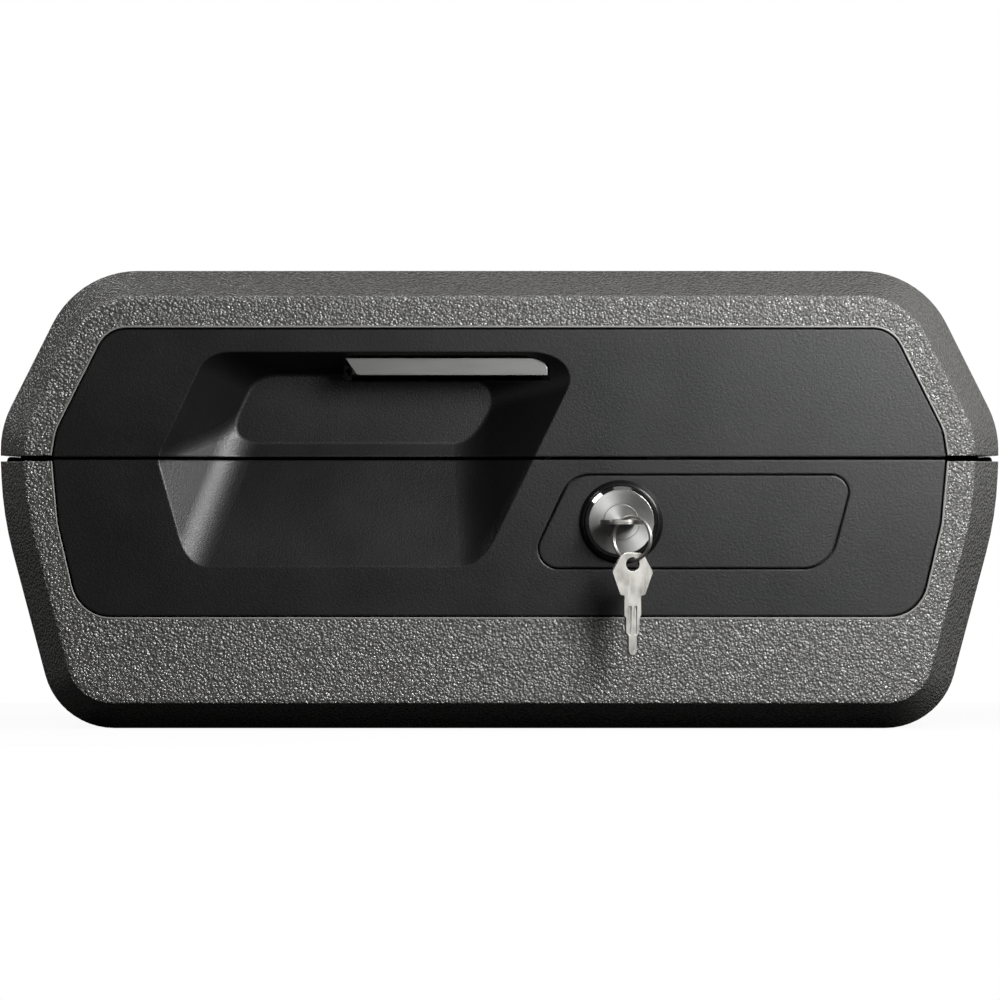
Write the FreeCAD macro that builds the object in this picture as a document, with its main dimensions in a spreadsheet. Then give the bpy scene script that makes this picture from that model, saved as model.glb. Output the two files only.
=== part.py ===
import FreeCAD
import Part
import math
import os
import Sketcher
from FreeCAD import Placement, Rotation, Vector

# A fire-resistant cash box: two filled plastic shells hinged at the back, black front
# fascias with a hand scoop across the parting, a pull latch and a key lock.
# Frame: origin at the middle of the base, +Z up, the front looks along -Y. Millimetres.

SIZES = {
    # outside of the case
    "case_width": 419,
    "case_depth": 344,
    "body_height": 112,
    "lid_height": 77.6,
    "parting_gap": 2.4,
    "roof_inset": 32.9,
    "roof_round": 40,
    "knee_rise": 13.2,
    "knee_round": 40,
    "flank_inset": 1,
    "flank_drop": 22.8,
    "flank_round": 150,
    "base_inset": 24.6,
    "base_round": 30,
    "bevel_width": 11,
    "bevel_depth": 24,
    "tail_width": 6,
    "tail_depth": 12,
    "edge_ease": 1.6,
    "edge_fall": 0.35,
    # walls and fill
    "shell_wall": 3,
    "side_wall": 4.2,
    "bay_depth": 46,
    "bay_wall": 8,
    "liner_wall": 2.5,
    "cavity_front": 82,
    "cavity_back": 42,
    "cavity_side": 37.5,
    "cavity_taper": 14,
    "cavity_floor": 36,
    "cavity_roof": 44,
    "cavity_round": 12,
    "seal_inset": 9,
    "seal_width": 6,
    "seal_spread": 17,
    "seal_groove": 1.2,
    "seal_gap": 0.1,
    # front fascias
    "panel_sink": 1.5,
    "panel_thick": 4,
    "panel_gap": 1,
    "panel_seam": 1.2,
    "upper_rise": 54,
    "upper_inset": 45.8,
    "upper_round": 12.6,
    "upper_knee_rise": 11.8,
    "upper_knee_inset": 24.7,
    "upper_knee_round": 20,
    "upper_foot_inset": 23,
    "lower_head_inset": 23.2,
    "lower_flank_inset": 25.5,
    "lower_flank_drop": 27.2,
    "lower_foot": 47.4,
    "lower_foot_inset": 34.6,
    "lower_round": 16,
    # hand scoop, measured on the fascia front and on its floor
    "scoop_rise": 44.3,
    "scoop_drop": 45.2,
    "scoop_top_left": 122.2,
    "scoop_waist": 142.9,
    "scoop_tail": 60,
    "scoop_lead": 6,
    "scoop_low_left": 126,
    "scoop_low_right": 15,
    "scoop_top_right": 35.8,
    "scoop_depth": 25,
    "scoop_wall": 2.5,
    "scoop_floor_foot": 6.5,
    "scoop_run_upper": 24.2,
    "scoop_run_lower": 34,
    "scoop_run_right": 28,
    "scoop_run_top": 8.6,
    "scoop_round": 14,
    "scoop_blend": 24,
    "scoop_crease": 12,
    "scoop_floor_blend": 2,
    # pull latch
    "pull_left": 64.5,
    "pull_right": 20,
    "pull_low": 34.8,
    "pull_high": 41.9,
    "pull_slant": 5,
    "pull_round": 2,
    "pull_end_round": 5.2,
    "pull_sink": 5,
    "pull_thick": 2.4,
    "web_thick": 4,
    "pivot_rise": 38.8,
    "pivot_depth": 36,
    "shaft_radius": 2.5,
    "hub_radius": 5.2,
    "hub_inset": 6,
    "run_gap": 0.06,
    "slot_gap": 1,
    "slot_low": 2,
    "slot_high": 6.6,
    "ear_gap": 1.2,
    "ear_thick": 2.5,
    "ear_foot": 13,
    "ear_height": 22,
    "hook_thick": 3,
    "hook_half": 4,
    "hook_nose": 5.4,
    "hook_reach": 7.6,
    "catch_width": 16,
    "catch_thick": 1.2,
    "catch_reach": 5.2,
    "catch_drop": 10.2,
    "catch_gap": 0.6,
    "catch_foot": 20,
    "clip_radius": 4.4,
    "clip_thick": 0.8,
    "spring_thick": 0.8,
    "spring_width": 14,
    "spring_foot": 9,
    "spring_reach": 11,
    # key lock
    "lock_x": 50.8,
    "lock_drop": 26.6,
    "plate_rise": 7.2,
    "plate_drop": 45.7,
    "plate_top_left": 30.3,
    "plate_top_right": 147.8,
    "plate_low_left": 11.8,
    "plate_low_right": 137.3,
    "plate_thick": 2.5,
    "plate_gap": 0.65,
    "plate_round_a": 12,
    "plate_round_b": 7,
    "plate_round_c": 14,
    "plate_round_d": 8,
    "bezel_radius": 17.6,
    "bezel_high": 3.2,
    "flange_radius": 15,
    "flange_high": 6.4,
    "flange_bevel": 1.4,
    "barrel_radius": 9.5,
    "barrel_length": 26,
    "barrel_gap": 0.15,
    "plug_radius": 7.4,
    "plug_proud": 0.5,
    "nut_half": 12,
    "nut_thick": 5,
    "cam_thick": 2.5,
    "cam_half": 6,
    "cam_length": 22,
    "cam_square": 7,
    "cam_gap": 0.2,
    "washer_thick": 1,
    "washer_radius": 5,
    "tongue_left": 62,
    "tongue_width": 14,
    "tongue_thick": 2.2,
    "tongue_gap": 1.2,
    "tongue_lip": 7,
    "tongue_drop": 35.3,
    "tongue_arm": 13,
    "tongue_foot": 20,
    # keys and ring
    "key_thick": 2,
    "bow_width": 17.9,
    "bow_length": 18,
    "bow_round": 1.6,
    "blade_width": 7.5,
    "blade_tip_width": 5.9,
    "blade_length": 24.6,
    "key_hole": 2.9,
    "key_hole_in": 4.9,
    "key_gap": 0.08,
    "groove_wide": 1.3,
    "groove_deep": 0.5,
    "ring_radius": 9,
    "ring_wire": 0.6,
    "ring_turn": 58,
    "ring_aside": 5,
    "ring_top": 2.3,
    "spare_turn": 18,
    "spare_gap": 0.45,
    # hinges
    "hinge_x": 110,
    "hinge_width": 60,
    "hinge_web": 16,
    "knuckle_radius": 4,
    "knuckle_round": 3.8,
    "knuckle_gap": 0.4,
    "pin_radius": 2,
    # screws
    "screw_radius": 1.5,
    "head_half": 2.75,
    "head_high": 1.6,
    "screw_length": 8,
    "long_screw": 18,
    "screw_gap": 0.1,
    "boss_radius": 5,
    "upper_boss_inset": 51.5,
    "upper_boss_rise": 14,
    "lower_boss_inset": 47.5,
    "lower_boss_drop": 27.2,
}

doc = FreeCAD.newDocument("cash_box")
sheet = doc.addObject("Spreadsheet::Sheet", "dims")
for row, (name, number) in enumerate(SIZES.items(), 1):
    sheet.set("A%d" % row, name)
    sheet.set("B%d" % row, str(number))
    sheet.setAlias("B%d" % row, name)
doc.recompute()


class Size:
    """A length or angle that knows its number and the sheet formula it comes from."""

    def __init__(self, value, text):
        self.value = value
        self.text = text

    def __add__(self, other):
        other = size(other)
        return Size(self.value + other.value, "(%s + %s)" % (self.text, other.text))

    def __sub__(self, other):
        other = size(other)
        return Size(self.value - other.value, "(%s - %s)" % (self.text, other.text))

    def __mul__(self, other):
        other = size(other)
        return Size(self.value * other.value, "(%s * %s)" % (self.text, other.text))

    def __truediv__(self, other):
        other = size(other)
        return Size(self.value / other.value, "(%s / %s)" % (self.text, other.text))

    def __radd__(self, other):
        return size(other) + self

    def __rsub__(self, other):
        return size(other) - self

    def __rmul__(self, other):
        return size(other) * self

    def __neg__(self):
        return size(-1) * self


def size(thing):
    if isinstance(thing, Size):
        return thing
    return Size(thing, repr(thing))


def sine(angle):
    return Size(math.sin(math.radians(angle.value)), "sin(%s * 1 deg)" % angle.text)


def cosine(angle):
    return Size(math.cos(math.radians(angle.value)), "cos(%s * 1 deg)" % angle.text)


class Sizes:
    """Every named size as an attribute."""


d = Sizes()
for name, number in SIZES.items():
    setattr(d, name, Size(number, "dims." + name))

# places that several sub-parts share
case_half = d.case_width / 2
front = -d.case_depth / 2
back = d.case_depth / 2
seam = d.body_height + d.parting_gap / 2
lid_rim = d.body_height + d.parting_gap
lid_top = lid_rim + d.lid_height
panel_face = front + d.panel_sink
panel_back = panel_face + d.panel_thick
bay_back = front + d.bay_depth
fill_front = bay_back + d.bay_wall
fill_back = back - d.tail_depth
cavity_y0 = front + d.cavity_front
cavity_y1 = back - d.cavity_back
lock_z = seam - d.lock_drop
pivot_y = front + d.pivot_depth
pivot_z = seam + d.pivot_rise
hinge_y = back + d.knuckle_radius + d.knuckle_gap
hinge_z = seam

TURN_BACK = Rotation(Vector(0, 0, 1), 180)
NORMALS = {"XY": ("XY_Plane", 1), "XZ": ("XZ_Plane", -1), "YZ": ("YZ_Plane", 1)}


def bind(obj, path, value):
    obj.setExpression(path, size(value).text)


def new_body(label):
    body = doc.addObject("PartDesign::Body", label)
    body.Label = label
    body.AllowCompound = True
    return body


def new_sketch(body, plane, at):
    role, sense = NORMALS[plane]
    sketch = body.newObject("Sketcher::SketchObject", "profile")
    for face in body.Origin.OriginFeatures:
        if face.Role == role:
            sketch.AttachmentSupport = [(face, "")]
    sketch.MapMode = "FlatFace"
    offset = size(at) * sense
    sketch.AttachmentOffset = Placement(Vector(0, 0, offset.value), Rotation())
    bind(sketch, "AttachmentOffset.Base.z", offset)
    return sketch


def hold(sketch, kind, item, value):
    """Pin a point's level or upright distance from the origin to a size."""
    number = sketch.addConstraint(Sketcher.Constraint(kind, -1, 1, item[0], item[1], value.value))
    bind(sketch, "Constraints[%d]" % number, value)


def add_loop(sketch, corners):
    """A closed outline; a corner is (across, up) or (across, up, rounding)."""
    start = sketch.GeometryCount
    count = len(corners)
    points = []
    for corner in corners:
        points.append(Vector(size(corner[0]).value, size(corner[1]).value, 0))
    for i in range(count):
        sketch.addGeometry(Part.LineSegment(points[i], points[(i + 1) % count]), False)
    for i in range(count):
        follower = start + (i + 1) % count
        sketch.addConstraint(Sketcher.Constraint("Coincident", start + i, 2, follower, 1))
    for i in range(count):
        hold(sketch, "DistanceX", (start + i, 1), size(corners[i][0]))
        hold(sketch, "DistanceY", (start + i, 1), size(corners[i][1]))
    for i in range(count):
        if len(corners[i]) == 3:
            round_corner(sketch, start + i, corners[i][2])


def round_corner(sketch, line, radius):
    before = sketch.GeometryCount
    sketch.fillet(line, 1, radius.value, True, True)
    for index in range(before, sketch.GeometryCount):
        if sketch.Geometry[index].TypeId == "Part::GeomArcOfCircle":
            number = sketch.addConstraint(Sketcher.Constraint("Radius", index, radius.value))
            bind(sketch, "Constraints[%d]" % number, radius)


def add_circle(sketch, across, up, radius):
    across, up, radius = size(across), size(up), size(radius)
    centre = Vector(across.value, up.value, 0)
    index = sketch.addGeometry(Part.Circle(centre, Vector(0, 0, 1), radius.value), False)
    number = sketch.addConstraint(Sketcher.Constraint("Radius", index, radius.value))
    bind(sketch, "Constraints[%d]" % number, radius)
    hold(sketch, "DistanceX", (index, 3), across)
    hold(sketch, "DistanceY", (index, 3), up)


def pad(body, plane, at, length, shape):
    """Add material from a level onwards, along the positive axis."""
    sketch = new_sketch(body, plane, at)
    draw(sketch, shape)
    feature = body.newObject("PartDesign::Pad", "pad")
    feature.Profile = sketch
    feature.Reversed = NORMALS[plane][1] < 0
    bind(feature, "Length", length)
    return feature


def pocket(body, plane, at, length, shape):
    """Take material away from a level onwards, along the positive axis."""
    sketch = new_sketch(body, plane, at)
    draw(sketch, shape)
    feature = body.newObject("PartDesign::Pocket", "pocket")
    feature.Profile = sketch
    feature.Reversed = NORMALS[plane][1] > 0
    bind(feature, "Length", length)
    return feature


def loft(body, sections):
    """Straight-sided solid through outlines at successive levels of y."""
    sketches = []
    for at, shape in sections:
        sketch = new_sketch(body, "XZ", at)
        draw(sketch, shape)
        sketches.append(sketch)
    feature = body.newObject("PartDesign::AdditiveLoft", "loft")
    feature.Profile = sketches[0]
    feature.Sections = sketches[1:]
    feature.Ruled = True
    return feature


def draw(sketch, shape):
    """A shape is one outline, or a list of (across, up, radius) circles under a key."""
    if isinstance(shape, dict):
        for across, up, radius in shape["circles"]:
            add_circle(sketch, across, up, radius)
    else:
        add_loop(sketch, shape)


def rect(x0, z0, x1, z1):
    return [(x0, z0), (x1, z0), (x1, z1), (x0, z1)]


def rounded(x0, z0, x1, z1, radius):
    return [(x0, z0, radius), (x1, z0, radius), (x1, z1, radius), (x0, z1, radius)]


def mirrored(half):
    """Close a left-right symmetric outline from its right half, listed from top to bottom."""
    left = []
    for corner in reversed(half):
        left.append((-corner[0],) + tuple(corner[1:]))
    return list(half) + left


def turn(body, profile):
    """A body of revolution about the local Y axis; the profile is (along, radius)."""
    sketch = new_sketch(body, "YZ", size(0))
    add_loop(sketch, profile)
    feature = body.newObject("PartDesign::Revolution", "turned")
    feature.Profile = sketch
    feature.ReferenceAxis = (sketch, ["H_Axis"])
    feature.Angle = 360
    return feature


def place(obj, x, y, z, rotation=None):
    """Stand an object at a point given by sizes."""
    spot = Vector(size(x).value, size(y).value, size(z).value)
    obj.Placement = Placement(spot, rotation or Rotation())
    bind(obj, "Placement.Base.x", x)
    bind(obj, "Placement.Base.y", y)
    bind(obj, "Placement.Base.z", z)


def group(label, members):
    made = doc.addObject("Part::Compound", label)
    made.Label = label
    made.Links = members
    return made


def subtract(label, base, tool):
    made = doc.addObject("Part::Cut", label)
    made.Label = label
    made.Base = base
    made.Tool = tool
    return made


def lies_at(edge, axis, level, reach=0.01):
    """True when the whole edge lies in the plane at a level of one axis."""
    box = edge.BoundBox
    low = {"x": box.XMin, "y": box.YMin, "z": box.ZMin}[axis]
    high = {"x": box.XMax, "y": box.YMax, "z": box.ZMax}[axis]
    return abs(low - level.value) < reach and abs(high - level.value) < reach


HEX = 2 / math.sqrt(3)


def hexagon(half, x=0, z=0):
    """A six-sided outline about a point, from half its width across the flats."""
    return [
        (x + half * HEX, z),
        (x + half * HEX / 2, z + half),
        (x - half * HEX / 2, z + half),
        (x - half * HEX, z),
        (x - half * HEX / 2, z - half),
        (x + half * HEX / 2, z - half),
    ]


def screw(label, x, y, z, length, rotation=None):
    """A hex screw, its shank six-sided to stay light; the head sits on the place, the shank runs +Y."""
    body = new_body(label)
    pad(body, "XZ", -d.head_high, d.head_high, hexagon(d.head_half))
    pad(body, "XZ", size(0), length, hexagon(d.screw_radius))
    place(body, x, y, z, rotation)
    return body


def bore(body, x, y, z, depth):
    """A screw hole from a level of y backwards."""
    pocket(body, "XZ", y, depth, hexagon(d.screw_radius + d.screw_gap, x, z))


# shares of an inset taken by the corners of the sloping sides
ROOF_SHARE = 0.62
KNEE_SHARE = 0.24
FLANK_SHARE = 0.15
BASE_SHARE = 0.77


# outlines seen from the front, pulled in all round by an inset, open ended at a level
def lid_outline(inset, level):
    return mirrored([
        (case_half - d.roof_inset - inset * ROOF_SHARE, lid_top - inset, d.roof_round - inset),
        (case_half - inset, seam + d.knee_rise - inset * KNEE_SHARE, d.knee_round - inset),
        (case_half - inset, level),
    ])


def body_outline(inset, level):
    return mirrored([
        (case_half - inset, level),
        (case_half - d.flank_inset - inset, d.body_height - d.flank_drop + inset * FLANK_SHARE,
         d.flank_round - inset),
        (case_half - d.base_inset - inset * BASE_SHARE, inset, d.base_round - inset),
    ])


upper_bottom = seam + d.panel_seam / 2
lower_top = seam - d.panel_seam / 2


def upper_outline(grow, bottom):
    return mirrored([
        (case_half - d.upper_inset + grow / 2, seam + d.upper_rise + grow, d.upper_round + grow),
        (case_half - d.upper_knee_inset + grow, seam + d.upper_knee_rise, d.upper_knee_round),
        (case_half - d.upper_foot_inset + grow, bottom),
    ])


def lower_outline(grow, top):
    return mirrored([
        (case_half - d.lower_head_inset + grow, top),
        (case_half - d.lower_flank_inset + grow, seam - d.lower_flank_drop),
        (case_half - d.lower_foot_inset + grow, d.lower_foot - grow, d.lower_round + grow),
    ])


def shell(label, outline, rim, bay):
    """An outer shell: bevelled block with the mechanism bay and the fill space."""
    body = new_body(label)
    loft(body, [
        (front, outline(d.bevel_width + d.edge_ease, rim)),
        (front + d.edge_fall, outline(d.bevel_width, rim)),
        (front + d.bevel_depth, outline(size(0), rim)),
        (fill_back, outline(size(0), rim)),
        (back, outline(d.tail_width, rim)),
    ])
    pocket(body, "XZ", front, d.bay_depth, bay)
    pocket(body, "XZ", fill_front, fill_back - fill_front, outline(d.shell_wall, rim))
    return body


def fill(label, outline, rim, flange_z):
    """The foam block inside a shell, let down at the rim for the liner's flange."""
    body = new_body(label)
    pad(body, "XZ", fill_front, fill_back - fill_front, outline(d.shell_wall, rim))
    pocket(body, "XY", flange_z, d.liner_wall, rect(
        -d.case_width, -d.case_depth, d.case_width, d.case_depth))
    return body


def liner(label, rim, flange_z, deep_z, wall, fill):
    """A moulded tub with a flange at the rim; the fill keeps a matching hollow."""
    body = new_body(label)
    pad(body, "XY", flange_z, d.liner_wall, rect(
        d.side_wall - case_half, fill_front, case_half - d.side_wall, fill_back))
    pad(body, "XZ", cavity_y0 - d.liner_wall, cavity_y1 - cavity_y0 + d.liner_wall * 2,
        tub_outline(rim, deep_z + wall, d.liner_wall))
    pocket(fill, "XZ", cavity_y0 - d.liner_wall, cavity_y1 - cavity_y0 + d.liner_wall * 2,
           tub_outline(rim, deep_z + wall, d.liner_wall))
    pocket(body, "XZ", cavity_y0, cavity_y1 - cavity_y0, tub_outline(rim, deep_z, size(0)))
    return body


def tub_outline(rim, deep, grow):
    wide = case_half - d.cavity_side + grow
    narrow = wide - d.cavity_taper
    return mirrored([
        (wide, rim),
        (narrow, deep, d.cavity_round + grow),
    ])


def plan(grow):
    """Rectangle round the mouth of the cavity, seen from above, wider at the sides."""
    wide = case_half - d.cavity_side + d.seal_spread + grow
    return rounded(-wide, cavity_y0 - grow, wide, cavity_y1 + grow, grow)


# lid and body shells with their foam fill and moulded liners
lid_shell = shell("lid_shell", lid_outline, lid_rim, upper_outline(d.panel_gap, lid_rim))
body_shell = shell("body_shell", body_outline, d.body_height, lower_outline(d.panel_gap, d.body_height))

lid_fill = fill("lid_fill", lid_outline, lid_rim, lid_rim)
lid_liner = liner("lid_liner", lid_rim, lid_rim, lid_rim + d.cavity_roof, d.liner_wall, lid_fill)

body_fill = fill("body_fill", body_outline, d.body_height, d.body_height - d.liner_wall)
body_liner = liner("body_liner", d.body_height, d.body_height - d.liner_wall, d.cavity_floor,
                   -d.liner_wall, body_fill)

seal_outer = d.seal_inset + d.seal_width
lid_gasket = new_body("lid_gasket")
pad(lid_gasket, "XY", d.body_height, d.parting_gap + d.seal_groove, plan(seal_outer))
pocket(lid_gasket, "XY", d.body_height, d.parting_gap + d.seal_groove, plan(d.seal_inset))
groove = new_sketch(lid_liner, "XY", lid_rim)
add_loop(groove, plan(seal_outer + d.seal_gap))
add_loop(groove, plan(d.seal_inset - d.seal_gap))
channel = lid_liner.newObject("PartDesign::Pocket", "channel")
channel.Profile = groove
channel.Reversed = True
bind(channel, "Length", d.seal_groove)

# hand scoop: one hollow shared by both fascias, with a sloping lower face; it is drawn from a
# little ahead of the fascia front so that its blends run out through the front
RAMP_SHARE = 2.3
ramp_foot = seam - d.scoop_drop
ramp_head = seam + d.scoop_floor_foot
ramp_slope = (ramp_head - ramp_foot) / d.scoop_depth
scoop_top = seam + d.scoop_rise
scoop_low = seam - d.scoop_tail
lean_upper = (d.scoop_waist - d.scoop_top_left) / d.scoop_rise
lean_lower = (d.scoop_waist - d.scoop_low_left) / d.scoop_tail
lean_right = (d.scoop_top_right + d.scoop_low_right) / (d.scoop_rise + d.scoop_tail)


def scoop_section(share, grow):
    """The scoop's outline at a share of its depth; its walls are flat, so its sides stay parallel."""
    upper = d.scoop_run_upper * share - grow
    lower = d.scoop_run_lower * share - grow
    right = d.scoop_run_right * share - grow
    fall = d.scoop_run_top * share - grow
    crease = (lower - upper) / (lean_upper + lean_lower)
    return [
        (-d.scoop_top_left + upper - lean_upper * fall, scoop_top - fall),
        (d.scoop_top_right - right - lean_right * fall, scoop_top - fall),
        (-d.scoop_low_right - right, scoop_low),
        (-d.scoop_low_left + lower, scoop_low),
        (-d.scoop_waist + upper + lean_upper * crease, seam + crease),
    ]


def corner_points(section, y):
    points = []
    for x, z in section:
        points.append(Vector(x.value, y.value, z.value))
    return points


def scoop_form(start, grow):
    """The scoop's flat-walled form from a level to its floor, cut off by the sloping lower face."""
    floor_y = panel_face + d.scoop_depth + grow
    share = (start - panel_face) / d.scoop_depth
    near = corner_points(scoop_section(share, grow), start)
    far = corner_points(scoop_section(size(1), grow), floor_y)
    count = len(near)
    faces = [flat_face(near), flat_face(far)]
    for i in range(count):
        j = (i + 1) % count
        faces.append(flat_face([near[i], near[j], far[j], far[i]]))
    form = Part.makeSolid(Part.makeShell(faces))
    under = grow * RAMP_SHARE
    wide = d.case_width.value
    below = flat_face([
        Vector(-wide, start.value, (ramp_foot - under + (start - panel_face) * ramp_slope).value),
        Vector(-wide, floor_y.value, (ramp_head - grow / 2).value),
        Vector(-wide, floor_y.value + wide, (ramp_head - grow / 2).value),
        Vector(-wide, floor_y.value + wide, -wide),
        Vector(-wide, start.value, -wide),
    ])
    return form.cut(below.extrude(Vector(2 * wide, 0, 0))).Solids[0]


def flat_face(points):
    return Part.Face(Part.makePolygon(points + points[:1]))


def on_ramp(edge):
    """True for an edge along the sides of the sloping lower face."""
    for point in edge.Vertexes:
        level = ramp_foot.value + (point.Y - panel_face.value) * ramp_slope.value
        if abs(point.Z - level) > 0.02:
            return False
    return True


def upper_corner(edge):
    """True for the two edges where the scoop's top wall meets its side walls."""
    box = edge.BoundBox
    deep = box.YMax - box.YMin > d.scoop_depth.value
    return deep and box.ZMax > scoop_top.value


def middle(edge):
    return Part.Vertex(edge.valueAt((edge.FirstParameter + edge.LastParameter) / 2))


def blend(label, base, spots, radius):
    """Rounds the edges of a form that pass through given spots."""
    rows = []
    for number, edge in enumerate(base.Shape.Edges, 1):
        for spot in spots:
            if edge.distToShape(spot)[0] < 0.01:
                rows.append((number, radius.value, radius.value))
    rounded_form = doc.addObject("Part::Fillet", label)
    rounded_form.Base = base
    rounded_form.Edges = rows
    doc.recompute([rounded_form])
    return rounded_form


scoop_raw = doc.addObject("Part::Feature", "scoop_raw")
scoop_raw.Shape = scoop_form(panel_face - d.scoop_lead, size(0))
ramp_spots = []
corner_spots = []
crease_spots = []
floor_spots = []
for edge in scoop_raw.Shape.Edges:
    if lies_at(edge, "y", panel_face + d.scoop_depth) or lies_at(edge, "y", panel_face - d.scoop_lead):
        continue
    if upper_corner(edge):
        corner_spots.append(middle(edge))
    elif on_ramp(edge):
        ramp_spots.append(middle(edge))
    else:
        crease_spots.append(middle(edge))
scoop_ramp = blend("scoop_ramp", scoop_raw, ramp_spots, d.scoop_blend)
scoop_corner = blend("scoop_corner", scoop_ramp, corner_spots, d.scoop_round)
scoop_crease = blend("scoop_crease", scoop_corner, crease_spots, d.scoop_crease)
for edge in scoop_crease.Shape.Edges:
    if lies_at(edge, "y", panel_face + d.scoop_depth):
        floor_spots.append(middle(edge))
scoop = blend("scoop", scoop_crease, floor_spots, d.scoop_floor_blend)
scoop_back = doc.addObject("Part::Feature", "scoop_back")
scoop_back.Shape = scoop_form(panel_face, d.scoop_wall)

# fascias: plate, hollow back of the scoop, bosses for screws driven through the bay wall
def fascia(label, outline, boss_x, boss_z, shell_body):
    """The plate of a front fascia, with its two bosses and their screws sunk in the bay wall."""
    body = new_body(label + "_plate")
    pad(body, "XZ", panel_face, d.panel_thick, outline)
    seat = fill_front - d.head_high
    reach = d.long_screw - (seat - bay_back) + d.screw_gap
    head_room = d.head_half + d.screw_gap
    screws = []
    for side in (-1, 1):
        x = boss_x * side
        pad(body, "XZ", panel_back, bay_back - panel_back, hexagon(d.boss_radius, x, boss_z))
        bore(body, x, bay_back - reach, boss_z, reach)
        bore(shell_body, x, bay_back, boss_z, d.bay_wall)
        pocket(shell_body, "XZ", seat, d.head_high, hexagon(head_room, x, boss_z))
        screws.append(screw("%s_screw_%d" % (label, side + 2), x, seat, boss_z, d.long_screw, TURN_BACK))
    return body, group(label + "_screws", screws)


def with_scoop(label, plate, keep_from):
    """Join a fascia plate with its half of the scoop's back, then hollow it out."""
    keep = doc.addObject("Part::Box", label + "_half")
    bind(keep, "Length", d.case_width)
    bind(keep, "Width", d.case_depth)
    bind(keep, "Height", d.case_width)
    place(keep, -case_half, front, keep_from)
    half = doc.addObject("Part::Common", label + "_back")
    half.Base = scoop_back
    half.Tool = keep
    joined = doc.addObject("Part::Fuse", label + "_joined")
    joined.Base = plate
    joined.Tool = half
    return subtract(label, joined, scoop)


upper_plate, upper_screws = fascia("upper_fascia", upper_outline(size(0), upper_bottom),
                                   case_half - d.upper_boss_inset, seam + d.upper_boss_rise, lid_shell)
upper_hollowed = with_scoop("upper_fascia_hollowed", upper_plate, upper_bottom)
slot_left = -d.pull_left - d.slot_gap
slot_low = seam + d.pull_low - d.slot_low
slot_cut = doc.addObject("Part::Box", "latch_slot")
bind(slot_cut, "Length", d.pull_right + d.slot_gap - slot_left)
bind(slot_cut, "Width", d.scoop_depth + d.scoop_wall)
bind(slot_cut, "Height", seam + d.pull_high + d.slot_high - slot_low)
place(slot_cut, slot_left, panel_back, slot_low)
upper_fascia = subtract("upper_fascia", upper_hollowed, slot_cut)

lower_plate, lower_screws = fascia("lower_fascia", lower_outline(size(0), lower_top),
                                   case_half - d.lower_boss_inset, seam - d.lower_boss_drop, body_shell)


def plate_outline(grow):
    top = seam - d.plate_rise + grow
    low = seam - d.plate_drop - grow
    return [
        (d.plate_top_left - grow, top, d.plate_round_a + grow),
        (d.plate_top_right + grow, top, d.plate_round_b + grow),
        (d.plate_low_right + grow, low, d.plate_round_c + grow),
        (d.plate_low_left - grow, low, d.plate_round_d + grow),
    ]


barrel_hole = d.barrel_radius + d.barrel_gap
pocket(lower_plate, "XZ", panel_face, d.plate_thick, plate_outline(d.plate_gap))
pocket(lower_plate, "XZ", panel_face, d.panel_thick, {"circles": [(d.lock_x, lock_z, barrel_hole)]})
lower_fascia = with_scoop("lower_fascia", lower_plate, lower_top - d.case_width)

# key lock: plate, bezel, chromed housing, nut, turning plug and cam
lock_plate = new_body("lock_plate")
pad(lock_plate, "XZ", panel_face, d.plate_thick, plate_outline(size(0)))
pocket(lock_plate, "XZ", panel_face, d.plate_thick, {"circles": [(d.lock_x, lock_z, barrel_hole)]})

lock_bezel = new_body("lock_bezel")
bezel_bore = d.flange_radius + d.barrel_gap
turn(lock_bezel, [
    (0, bezel_bore),
    (0, d.bezel_radius),
    (-d.bezel_high, d.bezel_radius - d.bezel_high / 2),
    (-d.bezel_high, bezel_bore),
])
place(lock_bezel, d.lock_x, panel_face, lock_z)

lock_housing = new_body("lock_housing")
plug_bore = d.plug_radius + d.run_gap
turn(lock_housing, [
    (d.barrel_length, plug_bore),
    (d.barrel_length, d.barrel_radius),
    (0, d.barrel_radius),
    (0, d.flange_radius),
    (-d.flange_high + d.flange_bevel, d.flange_radius),
    (-d.flange_high, d.flange_radius - d.flange_bevel),
    (-d.flange_high, plug_bore),
])
place(lock_housing, d.lock_x, panel_face, lock_z)

lock_nut = new_body("lock_nut")
pad(lock_nut, "XZ", d.panel_thick, d.nut_thick, hexagon(d.nut_half))
pocket(lock_nut, "XZ", d.panel_thick, d.nut_thick, {"circles": [(0, 0, barrel_hole)]})
place(lock_nut, d.lock_x, panel_face, lock_z)

plug_face = -d.flange_high - d.plug_proud
cam_start = d.barrel_length + d.cam_gap
half_square = d.cam_square / 2
lock_plug = new_body("lock_plug")
pad(lock_plug, "XZ", plug_face, cam_start - plug_face, {"circles": [(0, 0, d.plug_radius)]})
pad(lock_plug, "XZ", cam_start, d.cam_thick, rect(-half_square, -half_square, half_square, half_square))
way_half = d.blade_width / 2 + d.key_gap
way_high = d.key_thick / 2 + d.key_gap
pocket(lock_plug, "XZ", plug_face, d.blade_length + d.key_gap * 3, rect(
    -way_half, -way_high, way_half, way_high))
cam_hold = d.screw_length - d.washer_thick
bore(lock_plug, 0, cam_start + d.cam_thick - cam_hold - d.screw_gap, 0, cam_hold + d.screw_gap)
place(lock_plug, d.lock_x, panel_face, lock_z)

lock_cam = new_body("lock_cam")
pad(lock_cam, "XZ", cam_start, d.cam_thick, rounded(
    -d.cam_half, -d.cam_half, d.cam_half, d.cam_length, d.cam_half * 0.8))
grip = half_square + d.run_gap
pocket(lock_cam, "XZ", cam_start, d.cam_thick, rect(-grip, -grip, grip, grip))
place(lock_cam, d.lock_x, panel_face, lock_z)

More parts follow.
